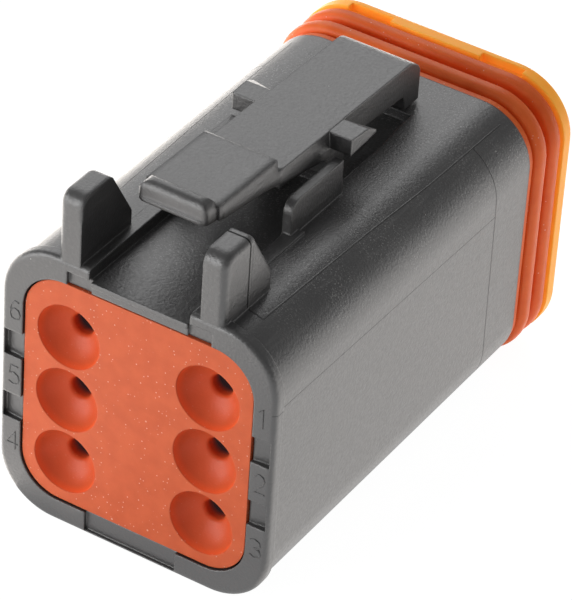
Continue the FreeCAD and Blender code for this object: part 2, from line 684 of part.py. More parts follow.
def round_pad_front(body):
    """Rounds the edge at the front of the pad's top, and the corner below each of its ends."""
    foot = number_of(top + mm["pad_height"])

    def at_pad_front(edge):
        box = edge.BoundBox
        across = abs(box.ZMin - foot) < SAME_PLACE
        beside = (box.XMin > 0 or box.XMax < 0) and abs(box.ZMax - foot) < SAME_PLACE
        return in_plane(edge, "y", mm["pad_front"]) and (across or beside)

    round_edges(body, "pad_front_edges", at_pad_front, mm["pad_edge_round"])


def make_ears(body):
    """The two ears beside the arm: deep behind, thin in front, and a little wider there."""
    half_arm = mm["arm_width"] / 2
    inside = half_arm - mm["saddle_wall"]
    rear, front = mm["ear_rear"], mm["ear_rear"] + mm["ear_length"]
    root_front = rear + mm["ear_root_length"]
    low = top + mm["ear_underside"]
    high, root_high = arm_top_at(rear) - mm["ear_step"], arm_top_at(root_front) - mm["ear_step"]
    tip_high = high - mm["ear_slope"]
    ear = sketch_on(body, "ear_outline", "YZ_Plane", inside)
    outline(ear, [(rear, low), (front, tip_high - mm["ear_tip"]), (front, tip_high), (root_front, root_high),
                  (rear, high)])
    reach = mm["ear_reach"]
    first = pad(body, "right_ear", ear, reach - inside)

    past = reach + mm["ear_flare"]
    before, beyond = rear - mm["ear_tip"], front + mm["ear_tip"]
    plan = sketch_on(body, "ear_corner_outlines", "XY_Plane", top)
    outline(plan, [(half_arm, root_front), (reach, front), (past, front), (past, beyond), (half_arm, beyond)])
    outline(plan, [(reach - mm["ear_flare"], before), (past, before), (past, front), (reach, front)])
    corners = pocket(body, "right_ear_corners", plan, mm["arm_height"] * 2, reverse=True)
    mirror(body, "ears", [first, corners])


def make_rear_grommet():
    """The silicone block that seals round the six wires, with a cup and three lips for each wire."""
    body = new_piece("rear_grommet")
    block = sketch_on(body, "grommet_outline", "XZ_Plane", -mm["grommet_setback"])
    grommet_outline(block, ZERO)
    pad(body, "block", block, mm["grommet_length"], reverse=True)

    holes = sketch_on(body, "wire_hole_circles", "XZ_Plane")
    for x in columns:
        for z in rows:
            round_hole(holes, x, z, mm["wire_hole"])
    pocket(body, "wire_holes", holes, grommet_front + mm["grommet_gap"])

    first_groove = mm["grommet_setback"] + mm["cup_depth"] + mm["lip_length"]
    for count in range(LIP_GROOVES):
        start = first_groove + mm["lip_spacing"] * count
        grooves = sketch_on(body, "lip_groove_circles", "XZ_Plane", -start)
        for x in columns:
            for z in rows:
                round_hole(grooves, x, z, mm["lip_groove"])
        pocket(body, "lip_grooves", grooves, mm["lip_spacing"] - mm["lip_length"])

    make_wire_cups(body)
    return body


def make_wire_cups(body):
    """A dished mouth for each wire: part of a ball whose middle lies just outside the face."""
    depth = mm["cup_depth"]
    rim = mm["cup_radius"]
    outside = (rim * rim - mm["wire_hole"] * mm["wire_hole"] - depth * depth) / (depth * 2)
    radius = (rim * rim + outside * outside).root()
    for x in columns:
        for z in rows:
            ball = body.newObject("PartDesign::SubtractiveSphere", "wire_cup")
            ball.AttachmentSupport = (origin_feature(body, "XZ_Plane"), [""])
            ball.MapMode = "FlatFace"
            bind(ball, "AttachmentOffset.Base.x", x)
            bind(ball, "AttachmentOffset.Base.y", z)
            bind(ball, "AttachmentOffset.Base.z", outside - mm["grommet_setback"])
            bind(ball, "Radius", radius)
            doc.recompute()

    def on_mouth(edge):
        return in_plane(edge, "y", mm["grommet_setback"] + depth)

    round_edges(body, "cup_mouths", on_mouth, mm["mouth_round"])


def make_interface_seal():
    """The silicone sleeve round the nose: a lip against the housing, then two rounded ribs."""
    body = new_piece("interface_seal")
    sleeve = sketch_on(body, "sleeve_outline", "XZ_Plane", -body_front)
    body_outline(sleeve, -mm["groove_inset"])
    pad(body, "sleeve", sleeve, mm["seal_length"], reverse=True)

    land = sketch_on(body, "land_outline", "XZ_Plane", -body_front)
    body_outline(land, -mm["land_inset"])
    pad(body, "land", land, mm["seal_land"], reverse=True)

    for name, start in (("first_rib", mm["rib_one"]), ("second_rib", mm["rib_two"])):
        near = body_front + start
        rib = sketch_on(body, name + "_outline", "XZ_Plane", -near)
        body_outline(rib, mm["rib_proud"])
        pad(body, name, rib, mm["rib_width"], reverse=True)

        def on_crest(edge):
            flat = in_plane(edge, "y", near) or in_plane(edge, "y", near + mm["rib_width"])
            return flat and distance_from_nose(edge) > number_of(mm["nose_inset"] + mm["rib_proud"] / 2)

        round_edges(body, name + "_crest", on_crest, mm["rib_round"])

    bore = sketch_on(body, "nose_hole_outline", "XZ_Plane", -body_front)
    nose_outline(bore, mm["seal_gap"])
    pocket(body, "nose_hole", bore, mm["seal_length"])
    return body


def distance_from_nose(edge):
    """How far the middle of an edge lies outside the nose's flat sides."""
    middle = edge.valueAt((edge.FirstParameter + edge.LastParameter) / 2)
    inset = number_of(mm["nose_inset"])
    side = abs(middle.x) - number_of(half_width) + inset
    above = middle.z - number_of(top) + inset
    below = number_of(bottom) + inset - middle.z
    return max(side, above, below)


def make_wedge_lock():
    """The orange wedge: a flange with six pin holes and a hollow blade that backs the lock fingers."""
    body = new_piece("wedge_lock")
    flange = sketch_on(body, "flange_outline", "XZ_Plane", -flange_rear)
    body_outline(flange, mm["flange_proud"])
    pad(body, "flange", flange, mm["flange_thickness"], reverse=True)
    round_edges(body, "flange_front_edge", lambda edge: in_plane(edge, "y", flange_front), mm["flange_round"])

    half_blade = mm["slot_width"] / 2 - mm["blade_gap"]
    low, high = slot_bottom + mm["blade_gap"], slot_top - mm["blade_gap"]
    blade = sketch_on(body, "blade_outline", "XZ_Plane", -blade_rear)
    outline(blade, box_corners(-half_blade, half_blade, low, high))
    pad(body, "blade", blade, flange_rear - blade_rear + mm["blade_gap"], reverse=True)

    wall = mm["blade_wall"]
    hollow = sketch_on(body, "blade_hollow_outline", "XZ_Plane", -(blade_rear + wall))
    outline(hollow, box_corners(-half_blade + wall, half_blade - wall, low + wall, high - wall))
    pocket(body, "blade_hollow", hollow, flange_front - blade_rear)

    middle = (low + high) / 2
    half_bridge = mm["bridge_height"] / 2
    bridge_front = flange_front - mm["bridge_setback"]
    bridge = sketch_on(body, "bridge_outline", "XZ_Plane", -(bridge_front - mm["bridge_depth"]))
    outline(bridge, box_corners(-half_blade, half_blade, middle - half_bridge, middle + half_bridge))
    pad(body, "bridge", bridge, mm["bridge_depth"], reverse=True)

    holes = sketch_on(body, "pin_hole_circles", "XZ_Plane", -flange_rear)
    for x in columns:
        for z in rows:
            round_hole(holes, x, z, mm["pin_hole"])
    pocket(body, "pin_holes", holes, mm["flange_thickness"])

    def on_pin_hole(edge):
        round_one = abs(edge.BoundBox.XLength - 2 * number_of(mm["pin_hole"])) < 1e-3
        return round_one and in_plane(edge, "y", flange_front)

    bevel_edges(body, "pin_countersinks", on_pin_hole, mm["pin_countersink"])

    notches = sketch_on(body, "notch_outlines", "XZ_Plane", -flange_rear)
    for side in (-1, 1):
        ends = [mm["notch_start"] * side, (mm["notch_start"] + mm["notch_width"]) * side]
        ends.sort(key=number_of)
        outline(notches, box_corners(*ends, top - mm["notch_sink"], top + mm["flange_proud"] * 2))
    pocket(body, "notches", notches, mm["notch_depth"])
    return body


def check_and_write(bodies):
    """Stops if a feature failed or a solid isn't sound, and otherwise writes one STEP file a piece."""
    doc.recompute()
    for item in doc.Objects:
        if {"Invalid", "Error"} & set(item.State):
            raise ValueError("%s failed: %s" % (item.Label, item.State))
    for body in bodies:
        shape = body.Shape
        if shape.isNull() or not shape.isValid() or len(shape.Solids) != 1:
            raise ValueError(body.Label + " isn't one sound solid")
    os.makedirs("parts", exist_ok=True)
    for body in bodies:
        body.Shape.exportStep("parts/%s.step" % body.Label)
        print("%-16s %8.1f mm3  %s" % (body.Label, body.Shape.Volume, body.Shape.BoundBox))


check_and_write([make_housing(), make_release_latch(), make_rear_grommet(), make_interface_seal(),
                 make_wedge_lock()])
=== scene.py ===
# %% [markdown]
# # A sealed automotive plug
# A six-way plug for a wiring loom: a satin black moulding with a rocking latch on top, an orange-red
# silicone grommet for the wires, a ribbed silicone ring round the nose, and a light-orange wedge that
# locks the contacts. The CAD model already has every shape, so Blender's work is the camera, the light
# and the finishes, and the few marks too fine for solids: cavity numbers, mould lines, dust and grain.

import math

import bpy
from mathutils import Matrix, Vector


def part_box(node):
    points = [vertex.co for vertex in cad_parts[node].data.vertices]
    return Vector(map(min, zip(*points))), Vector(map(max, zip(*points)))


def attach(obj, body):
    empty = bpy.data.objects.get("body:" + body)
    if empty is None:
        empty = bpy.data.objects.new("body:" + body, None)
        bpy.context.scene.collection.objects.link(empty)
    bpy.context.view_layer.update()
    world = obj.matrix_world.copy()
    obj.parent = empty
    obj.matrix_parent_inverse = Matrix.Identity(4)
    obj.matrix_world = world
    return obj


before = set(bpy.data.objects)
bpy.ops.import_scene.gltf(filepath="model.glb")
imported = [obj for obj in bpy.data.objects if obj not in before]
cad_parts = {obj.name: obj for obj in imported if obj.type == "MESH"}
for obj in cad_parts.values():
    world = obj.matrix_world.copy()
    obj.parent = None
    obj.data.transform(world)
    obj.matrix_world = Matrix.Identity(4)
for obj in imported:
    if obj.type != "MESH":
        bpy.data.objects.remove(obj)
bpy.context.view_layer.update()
MM = 0.001
for node in sorted(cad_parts):
    low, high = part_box(node)
    print(node, [round(side / MM, 2) for side in high - low], "mm")

# %% [markdown]
# ## Where things are
# The part's drawing measures from the rear face and from the middle of the six contacts. The packed
# frame measures from the middle of the underside. One offset joins the two, and every place below is
# given in the drawing's millimetres, because those are the numbers that a maker would read off a part.

# %% Drawing to frame
REAR_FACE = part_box("housing")[0].y / MM
CONTACT_HEIGHT = 10.16


def place(x, y, z):
    """A point of the drawing, in mm, as a point of the frame, in metres."""
    return Vector((x, y + REAR_FACE, z + CONTACT_HEIGHT)) * MM


print("rear face at y", round(REAR_FACE, 3), "mm")

# %% [markdown]
# ## The camera
# The photograph was taken with a long lens from the right, above and behind the wire side. The numbers
# come from fitting a camera to some forty corners of the plug. A long lens keeps the far end nearly as
# wide as the near end, so the lens matters as much as the angle.

# %% Camera
AZIMUTH, ELEVATION, ROLL = (math.radians(angle) for angle in (30.182, 36.509, 3.901))
DISTANCE = 279.13
LENS, SENSOR_WIDTH = 256.11, 36.0
AIM = (0.0, 15.0, 0.0)
SHIFT_RIGHT, SHIFT_UP = 1.555, 1.131
NEAREST, FARTHEST = 0.01, 20.0

back = Vector((math.sin(AZIMUTH) * math.cos(ELEVATION),
               -math.cos(AZIMUTH) * math.cos(ELEVATION),
               math.sin(ELEVATION)))
level_right = (-back).cross(Vector((0, 0, 1))).normalized()
level_up = level_right.cross(-back)
right = level_right * math.cos(ROLL) + level_up * math.sin(ROLL)
up = level_up * math.cos(ROLL) - level_right * math.sin(ROLL)
camera = bpy.data.objects.new("photo_camera", bpy.data.cameras.new("photo_camera"))
bpy.context.scene.collection.objects.link(camera)
stand = place(*AIM) + (back * DISTANCE + right * SHIFT_RIGHT + up * SHIFT_UP) * MM
turn = Matrix((right, up, back)).transposed().to_4x4()
camera.matrix_world = Matrix.Translation(stand) @ turn
camera.data.lens = LENS
camera.data.sensor_width = SENSOR_WIDTH
camera.data.clip_start, camera.data.clip_end = NEAREST, FARTHEST
bpy.context.scene.camera = camera
print("camera stands at", [round(c, 4) for c in stand])

# %% [markdown]
# ## Shader sums in Python
# A material is a tree of nodes. Written as nodes, even a short sum is many lines, so one small class
# wraps an output socket and lets Python's own operators add the Math nodes. Every other node comes from
# its one method, which sets the node's settings first and then fills or links its sockets.


# %% One socket, with Python's operators
class Socket:
    """One output of a node. Sums written on it in Python become Math nodes."""

    def __init__(self, tree, link=None):
        self.tree = tree
        self.link = link

    def node(self, kind, settings, sockets, output=0):
        """A new node: settings first, then values or links. Gives one of its outputs."""
        made = self.tree.nodes.new(kind)
        for name, value in settings.items():
            setattr(made, name, value)
        for name, value in sockets.items():
            if isinstance(value, Socket):
                self.tree.links.new(value.link, made.inputs[name])
            else:
                made.inputs[name].default_value = value
        return Socket(self.tree, made.outputs[output]) if len(made.outputs) else None

    def other(self, name):
        """Another output of the node that this socket belongs to."""
        return Socket(self.tree, self.link.node.outputs[name])

    def sum(self, operation, first, second=0.0):
        """One Math node."""
        return self.node("ShaderNodeMath", {"operation": operation}, {0: first, 1: second})

    def __add__(self, other):
        return self.sum("ADD", self, other)

    __radd__ = __add__

    def __sub__(self, other):
        return self.sum("SUBTRACT", self, other)

    def __rsub__(self, other):
        return self.sum("SUBTRACT", other, self)

    def __mul__(self, other):
        return self.sum("MULTIPLY", self, other)

    __rmul__ = __mul__

    def __abs__(self):
        return self.sum("ABSOLUTE", self)

    def fade(self, start, end):
        """0 before start and 1 after end, with a smooth step between them."""
        return self.node("ShaderNodeMapRange", {"interpolation_type": "SMOOTHSTEP"},
                         {"Value": self, "From Min": start, "From Max": end})


print("shader sums are ready")


# %% Larger values and mixed colours
def larger(first, second):
    """The larger of two values at each point."""
    return first.sum("MAXIMUM", first, second)


def mix_colour(factor, first, second):
    """The first colour where factor is 0 and the second where it is 1."""
    return factor.node("ShaderNodeMix", {"data_type": "RGBA"},
                       {0: factor, 6: first, 7: second}, output=2)


print("sums of two sockets are ready")


# %% Start and end of a material
def new_material(name):
    """An empty material, and the tree that its nodes go into."""
    material = bpy.data.materials.new(name)
    material.use_nodes = True
    material.node_tree.nodes.clear()
    return material, Socket(material.node_tree)


def show(tree, shader):
    """Ends a material: this shader is what its surface shows. Gives the number of nodes."""
    tree.node("ShaderNodeOutputMaterial", {}, {"Surface": shader})
    return len(tree.tree.nodes)


print("materials can start")

# %% [markdown]
# ## Floor and background
# The photograph's background is plain white. A real floor would have to be overlit to turn white, and
# that light would wash out the plug. So, through the Light Path node, the floor is shown as white only
# to the camera and to reflections, and the world only to the camera; the floor still keeps a share of
# the shadow.

# %% Floor
WHITE = (1.0, 1.0, 1.0, 1.0)
PAPER = (0.9, 0.9, 0.9, 1.0)
SHADOW_SHARE = 0.2
FLOOR_WHITE = 1.2
FLOOR_SIDE = 8


def seen_as_background(tree):
    """1 for rays from the camera, and for those that gloss and clear things pass on."""
    camera_ray = tree.node("ShaderNodeLightPath", {}, {})
    passed_on = larger(camera_ray, camera_ray.other("Is Glossy Ray"))
    return larger(passed_on, camera_ray.other("Is Transmission Ray"))


floor_material, tree = new_material("studio_floor")
paper = tree.node("ShaderNodeBsdfDiffuse", {}, {"Color": PAPER})
white = tree.node("ShaderNodeEmission", {}, {"Color": WHITE, "Strength": FLOOR_WHITE})
plain = seen_as_background(tree) * (1 - SHADOW_SHARE)
show(tree, tree.node("ShaderNodeMixShader", {}, {0: plain, 1: paper, 2: white}))

bpy.ops.mesh.primitive_grid_add(x_subdivisions=2, y_subdivisions=2, size=FLOOR_SIDE)
floor = bpy.context.object
floor.name = "studio_floor"
floor.data.materials.append(floor_material)
print("floor is", [round(side, 1) for side in floor.dimensions], "m")

# %% World
WORLD_GREY, WORLD_WHITE = 0.30, 1.0

world = bpy.data.worlds.new("studio")
bpy.context.scene.world = world
world.use_nodes = True
world.node_tree.nodes.clear()
tree = Socket(world.node_tree)
dim = tree.node("ShaderNodeBackground", {}, {"Color": WHITE, "Strength": WORLD_GREY})
bright = tree.node("ShaderNodeBackground", {}, {"Color": WHITE, "Strength": WORLD_WHITE})
camera_ray = tree.node("ShaderNodeLightPath", {}, {})
background = tree.node("ShaderNodeMixShader", {}, {0: camera_ray, 1: dim, 2: bright})
tree.node("ShaderNodeOutputWorld", {}, {"Surface": background})
bpy.context.scene.view_settings.view_transform = "Standard"
print("world nodes:", len(world.node_tree.nodes))

# %% [markdown]
# ## Soft studio lamps
# Satin black plastic is drawn by what it mirrors. The photograph shows its flat tops and its right side
# light and the rounded edge between them nearly black. So one wide soft lamp hangs where the flat tops
# mirror it, up behind the plug on the left, one low lamp lights the side, one the rear, and between the
# first two the studio stays dim. Each lamp is given by how bright its cloth looks, where 1 is white, and
# its power follows from that.

# %% Softboxes


def softbox(name, towards, distance, width, height, brightness):
    """A soft lamp in the direction towards, that looks at the plug. Brightness gives its power."""
    lamp = bpy.data.objects.new(name, bpy.data.lights.new(name, "AREA"))
    bpy.context.scene.collection.objects.link(lamp)
    lamp.data.shape = "RECTANGLE"
    lamp.data.size, lamp.data.size_y = width, height
    lamp.data.energy = brightness * math.pi * width * height
    direction = Vector(towards).normalized()
    lamp.location = place(*AIM) + direction * distance
    lamp.rotation_mode = "QUATERNION"
    lamp.rotation_quaternion = direction.to_track_quat("Z", "Y")
    print(name, "gives", round(lamp.data.energy, 2), "W")
    return lamp


softbox("top_softbox", (-0.60, 0.66, 0.62), 0.50, 0.44, 0.44, 1.5)
softbox("rear_softbox", (-0.80, -1.0, 0.25), 0.50, 0.50, 0.30, 4.3)
softbox("side_softbox", (0.75, 0.85, 0.10), 0.50, 0.60, 0.10, 0.5)

# %% [markdown]
# The sides and the rear face mirror the table that the plug stands on, so that is a light table, as
# product photographers use. It is made of three panes that lie on the floor and look up, and not of one
# wide one, so that each side gets its own brightness: the left edge shines in the photograph, and needs
# four times the light of the right side. The panes are slightly warm, as the photograph's greys are.

# %% Light table
DOWN = (0.0, 0.0, -1.0)
PANE_HEIGHT = 0.0001
WARM = (1.0, 0.94, 0.88)


def table_pane(name, x, y, side, brightness):
    """A square lamp that lies on the floor and looks up. The camera doesn't see it."""
    pane = softbox(name, DOWN, 0.0, side, side, brightness)
    pane.location = (x, y, PANE_HEIGHT)
    pane.visible_camera = False
    pane.data.color = WARM


table_pane("right_table", 0.21, 0.18, 0.40, 0.72)
table_pane("left_table", -0.21, 0.18, 0.40, 3.0)
table_pane("rear_table", -0.155, -0.17, 0.30, 0.8)

# %% [markdown]
# ## Marks shared by every finish
# All finishes read the plug's own drawing coordinates, so that grain and marks stay on their piece when
# the latch rocks or the wedge slides. Dust is a few random cells of a Voronoi pattern, each shrunk to a
# dot.

# %% Coordinates and patterns


def drawing(tree):
    """The surface point in the drawing's millimetres, from the piece's own coordinates."""
    own = tree.node("ShaderNodeTexCoord", {}, {}, output="Object")
    return tree.node("ShaderNodeVectorMath", {"operation": "MULTIPLY_ADD"},
                     {0: own, 1: (1 / MM, 1 / MM, 1 / MM), 2: (0, -REAR_FACE, -CONTACT_HEIGHT)})


def sides(point):
    """The point's x, y and z."""
    x = point.node("ShaderNodeSeparateXYZ", {}, {0: point}, output="X")
    return x, x.other("Y"), x.other("Z")


def clouds(point, spacing, detail=2.0):
    """Soft noise from 0 to 1 whose blotches are about spacing millimetres apart."""
    return point.node("ShaderNodeTexNoise", {},
                      {"Vector": point, "Scale": 1 / spacing, "Detail": detail})


def dots(point, spacing, radius, share):
    """1 in round dots: one cell in so many, of a pattern with cells spacing millimetres wide."""
    cell = point.node("ShaderNodeTexVoronoi", {}, {"Vector": point, "Scale": 1 / spacing})
    chance = point.node("ShaderNodeSeparateColor", {}, {0: cell.other("Color")})
    near = 1 - cell.fade(0.6 * radius / spacing, radius / spacing)
    return near * chance.fade(1 - share, 1 - 0.5 * share)


print("patterns are ready")

# %% [markdown]
# Moulded edges are never sharp. The Bevel node turns the normals near an edge as if it were rounded,
# without a single new face. Compared with the true normal, it also tells the shader where edges are.

# %% Edges and relief
BEVEL_SAMPLES = 6


def rounded_normal(tree, edge):
    """The surface normal as if every edge had the radius edge, in mm."""
    return tree.node("ShaderNodeBevel", {"samples": BEVEL_SAMPLES}, {"Radius": edge * MM})


def edge_line(tree, width):
    """1 along the edges of the moulding, in a line about width mm wide, and 0 elsewhere."""
    shape = tree.node("ShaderNodeNewGeometry", {}, {}, output="Normal")
    alike = tree.node("ShaderNodeVectorMath", {"operation": "DOT_PRODUCT"},
                      {0: shape, 1: rounded_normal(tree, width)}, output="Value")
    return (1 - alike).fade(0.02, 0.2)


def bumped(tree, height, depth, edge):
    """The normal with moulded edges of radius edge and a relief up to depth, both in mm."""
    return tree.node("ShaderNodeBump", {}, {
        "Height": height, "Strength": 1.0, "Distance": depth * MM,
        "Normal": rounded_normal(tree, edge)})


def finish(nodes, material):
    """Gives these carried-over CAD nodes their material."""
    for name in nodes:
        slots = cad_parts[name].data.materials
        slots.clear()
        slots.append(material)
    print(material.name, "is on", ", ".join(nodes))


print("edges are ready")

# %% [markdown]
# ## Mould lines
# Where parts of the mould met, the plug keeps a hairline ridge along the top, along the sides and round
# the front end, and a deeper line over the right post. They are far too thin for solids. But they are
# places in the drawing, so the shader measures how far each point is from them.

# %% Distance to a line on the drawing


def smaller(first, second):
    """The smaller of two values at each point."""
    return first.sum("MINIMUM", first, second)


def length(across, along):
    """How long a step is that goes so far across and so far along."""
    return across.sum("SQRT", across * across + along * along)


def from_line(across, along, corners):
    """How far a point is, in mm, from a line through these (across, along) corners."""
    nearest = None
    for (a0, b0), (a1, b1) in zip(corners, corners[1:]):
        run = math.hypot(a1 - a0, b1 - b0)
        step_a, step_b = (a1 - a0) / run, (b1 - b0) / run
        forward = (across - a0) * step_a + (along - b0) * step_b
        reached = forward.node("ShaderNodeClamp", {}, {"Value": forward, "Min": 0.0, "Max": run})
        gap = length(across - a0 - reached * step_a, along - b0 - reached * step_b)
        nearest = gap if nearest is None else smaller(nearest, gap)
    return nearest


TOP_LINE = [(6.2, 3.0), (6.3, 2.75), (7.35, 2.64), (7.7, 14.6), (8.0, 21.5), (8.13, 30.3)]
SIDE_LINE = [(5.9, 0.0), (5.9, 1.5), (5.45, 27.1)]
FRONT_LINE = [(10.4, 26.85), (5.4, 27.1), (-9.8, 27.4)]
POST_LINE = 2.72
print("line corners:", len(TOP_LINE), "on top,", len(SIDE_LINE), "on the sides,",
      len(FRONT_LINE), "round the front")

# %% Mould lines


def hairline(gap, core, rim):
    """1 on a line, from how far each point is from it: full within core mm, none beyond rim mm."""
    return 1 - gap.fade(core, rim)


def mould_lines(x, y, z):
    """1 on the housing's hairline ridges, and apart from them 1 on the right post's line."""
    mirrored = abs(x)
    on_top = z.fade(8.6, 9.2)
    on_sides = mirrored.fade(9.9, 10.0)
    past_arm = mirrored.fade(8.0, 8.1)
    on_right_post = z.fade(10.8, 10.9) * x.fade(4.4, 4.42)
    top = hairline(from_line(mirrored, y, TOP_LINE), 0.02, 0.08) * on_top
    side = hairline(from_line(z, y, SIDE_LINE), 0.02, 0.06) * on_sides * 0.7
    front = hairline(from_line(z, y, FRONT_LINE), 0.02, 0.08) * past_arm
    post = hairline(abs(y - POST_LINE), 0.03, 0.1) * on_right_post
    return larger(larger(top, side), front), post


print("mould lines are ready")

# %% [markdown]
# ## Wear
# A plug that was handled has faint lines along it where it slid over things, most of all on top, and
# patches of fine pale scratches on the top and the upper corners. Both are noise: the lines are noise
# stretched along the plug, and the scratches are very fine noise, kept to patches by a coarse one.

# %% Rubs and scuffs
RUB_WIDTH, RUB_LENGTH = 0.25, 4.0
PATCH, SCRATCH = 3.5, 0.11


def stretched(point, along_x, along_y, along_z):
    """The point with each side divided by a length, so that a pattern on it is stretched by it."""
    return point.node("ShaderNodeVectorMath", {"operation": "MULTIPLY"},
                      {0: point, 1: (1 / along_x, 1 / along_y, 1 / along_z)})


def rubbed(point, z):
    """Lines along the plug, full on top and faint on the sides."""
    lines = clouds(stretched(point, RUB_WIDTH, RUB_LENGTH, RUB_WIDTH), 1.0, 3.0).fade(0.5, 0.8)
    return lines * (z.fade(8.0, 10.0) * 0.7 + 0.3)


def scuffed(point, y, z):
    """Fine scratches in patches, clear of the rear rim, of the low sides and of the posts."""
    patches = clouds(point, PATCH).fade(0.3, 0.6)
    where = z.fade(6.0, 9.0) * (1 - z.fade(10.85, 10.9)) * y.fade(1.0, 6.0)
    return clouds(point, SCRATCH).fade(0.56, 0.68) * patches * where


print("wear is ready")

# %% [markdown]
# ## Satin black plastic
# The housing is a tough moulding plastic: nearly black, but with a fine grain that scatters enough light
# to look dark grey. The grain goes into the roughness and into the relief. The thumb pad's edges are
# rounder than the rest, so the Bevel radius grows there. A mould line is partly a shadow, which a
# relief this small can't cast, so the lines also let a dark matt shader through.

# %% Edges of the black plastic
EDGE_RADIUS, PAD_MORE, RIDGE_LESS = 0.18, 0.65, 0.35


def edge_radius(y, z):
    """How round edges look, in mm: more on the thumb pad, and a little less on the pad's ridge."""
    on_pad = z.fade(14.0, 14.4) * (1 - y.fade(11.3, 11.9))
    on_ridge = 1 - y.fade(4.2, 4.8)
    return on_pad * (PAD_MORE - on_ridge * RIDGE_LESS) + EDGE_RADIUS


print("edges are", EDGE_RADIUS, "mm, on the pad", round(EDGE_RADIUS + PAD_MORE, 2), "mm")

# %% Black plastic
SCUFF, EDGE_HIGHLIGHT = (0.26, 0.255, 0.25, 1.0), (0.27, 0.26, 0.25, 1.0)
DUST, LINE_SHADE = (0.55, 0.54, 0.52, 1.0), (0.01, 0.01, 0.01, 1.0)
RUBS_SHOW, SCUFFS_SHOW, EDGE_HIGHLIGHT_SHOWS, DUST_SHOWS = 0.15, 0.75, 0.6, 0.8
GRAIN_SIZE, BLOTCH_SIZE = 0.2, 5.0
DUST_SPACING, DUST_RADIUS, DUST_SHARE = 0.9, 0.045, 0.15
EDGE_HIGHLIGHT_WIDTH, RELIEF_DEPTH = 0.07, 0.035


def black_plastic(name, dark, light, gloss):
    """Grained black plastic between two greys, with mould lines and their painted shade, wear, painted
    highlights along the edges, and dust.
    """
    material, tree = new_material(name)
    point = drawing(tree)
    x, y, z = sides(point)
    ridge, post_line = mould_lines(x, y, z)
    grain, blotches = clouds(point, GRAIN_SIZE, 4.0), clouds(point, BLOTCH_SIZE)
    rubs, scuffs = rubbed(point, z), scuffed(point, y, z)
    dust = dots(point, DUST_SPACING, DUST_RADIUS, DUST_SHARE)
    edge_highlight = edge_line(tree, EDGE_HIGHLIGHT_WIDTH) * grain.fade(0.35, 0.6)
    colour = mix_colour(blotches.fade(0.3, 0.7), dark, light)
    colour = mix_colour(larger(rubs * RUBS_SHOW, scuffs * SCUFFS_SHOW), colour, SCUFF)
    # The edges are painted a lighter grey here, in patches of the grain: a painted highlight along them.
    colour = mix_colour(edge_highlight * EDGE_HIGHLIGHT_SHOWS, colour, EDGE_HIGHLIGHT)
    colour = mix_colour(dust * DUST_SHOWS, colour, DUST)
    relief = grain * 0.8 + ridge * 0.5 - post_line * 0.5 + dust * 0.5
    surface = tree.node("ShaderNodeBsdfPrincipled", {}, {
        "Base Color": colour, "Specular IOR Level": 0.9, "IOR": 1.6,
        "Roughness": gloss + blotches * 0.04 + grain * 0.22 + rubs * 0.06 - edge_highlight * 0.1,
        "Normal": bumped(tree, relief, RELIEF_DEPTH, edge_radius(y, z))})
    # The mould lines' darkness is painted shade: a near-black matt shader shows through along them.
    line_shade_shader = tree.node("ShaderNodeBsdfDiffuse", {}, {"Color": LINE_SHADE})
    line_shade_share = larger(ridge * 0.4, post_line * 0.85)
    surface = tree.node("ShaderNodeMixShader", {}, {0: line_shade_share, 1: surface, 2: line_shade_shader})
    print(name, "has", show(tree, surface), "nodes")
    return material


black = black_plastic("black_plastic", (0.028, 0.027, 0.028, 1.0), (0.040, 0.039, 0.039, 1.0), 0.25)
finish(["housing", "release_latch"], black)

# %% [markdown]
# ## Wire cups
# The grommet's flat face is matt and dusty, while its wire cups were moulded against polished pins: they
# look deeper and glossier. The light that comes through the thin rubber at their lips is painted light:
# the lips get a lighter colour. The holes in them end in the dark, and that shade is painted too: deep
# in a hole the colour turns nearly black. So the shader measures the way to the nearest wire's middle
# line for cup and lip, and the depth for the hole. A very faint glow in the holes stands for the haze of
# a real lens, which keeps the photograph's darkest places from being quite black.

# %% Cups and holes
COLUMN, ROW_PITCH = 5.235, 5.0
CUP_RADIUS, LIP_WIDTH = 2.37, 0.3
CUP, LIP_THROUGH_LIGHT = (0.65, 0.100, 0.030, 1.0), (0.85, 0.115, 0.028, 1.0)
HOLE_SHADE, HOLE_GLOW = (0.035, 0.012, 0.012, 1.0), (0.017, 0.009, 0.010, 1.0)
NO_GLOW = (0.0, 0.0, 0.0, 1.0)


def from_wire(x, z):
    """How far a point is, in mm, from the middle line of the nearest of the six wires."""
    height = abs(z)
    return length(abs(x) - COLUMN, smaller(height, abs(height - ROW_PITCH)))


def cups(point, colour):
    """The grommet's colour with cups, with painted light on their lips and painted shade in their holes,
    1 on its flat face, and the holes' glow.
    """
    x, y, z = sides(point)
    way = from_wire(x, z)
    face = way.fade(CUP_RADIUS - 0.06, CUP_RADIUS + 0.02)
    # Towards the cup's edge the lip is painted lighter: painted light through the thin rubber.
    cup = mix_colour(way.fade(CUP_RADIUS - LIP_WIDTH, CUP_RADIUS), CUP, LIP_THROUGH_LIGHT)
    in_hole = y.fade(2.1, 2.8)
    # Deep in a hole the colour turns nearly black: painted shade.
    colour = mix_colour(in_hole * 0.95, mix_colour(face, cup, colour), HOLE_SHADE)
    return colour, face, mix_colour(in_hole, NO_GLOW, HOLE_GLOW)


print("cup radius", CUP_RADIUS, "mm, lip", LIP_WIDTH, "mm")

# %% [markdown]
# ## Silicone
# Both seals are silicone rubber, a soft orange-red that is slightly cloudy inside. The Principled
# shader's subsurface gives the cloudy inside. Rubber draws dust, so it carries pale specks of two sizes:
# many on the grommet's open face, and few on the ring.

# %% Silicone
SPECK, SPECKS_SHOW = (0.95, 0.74, 0.62, 1.0), 0.5
FINE_SPECKS, COARSE_SPECKS = (0.3, 0.055), (1.3, 0.08)
HAZE_SIZE, SKIN_SIZE = 1.3, 0.12
SILICONE_RADIUS, SILICONE_SCALE = (1.0, 0.2, 0.08), 0.6


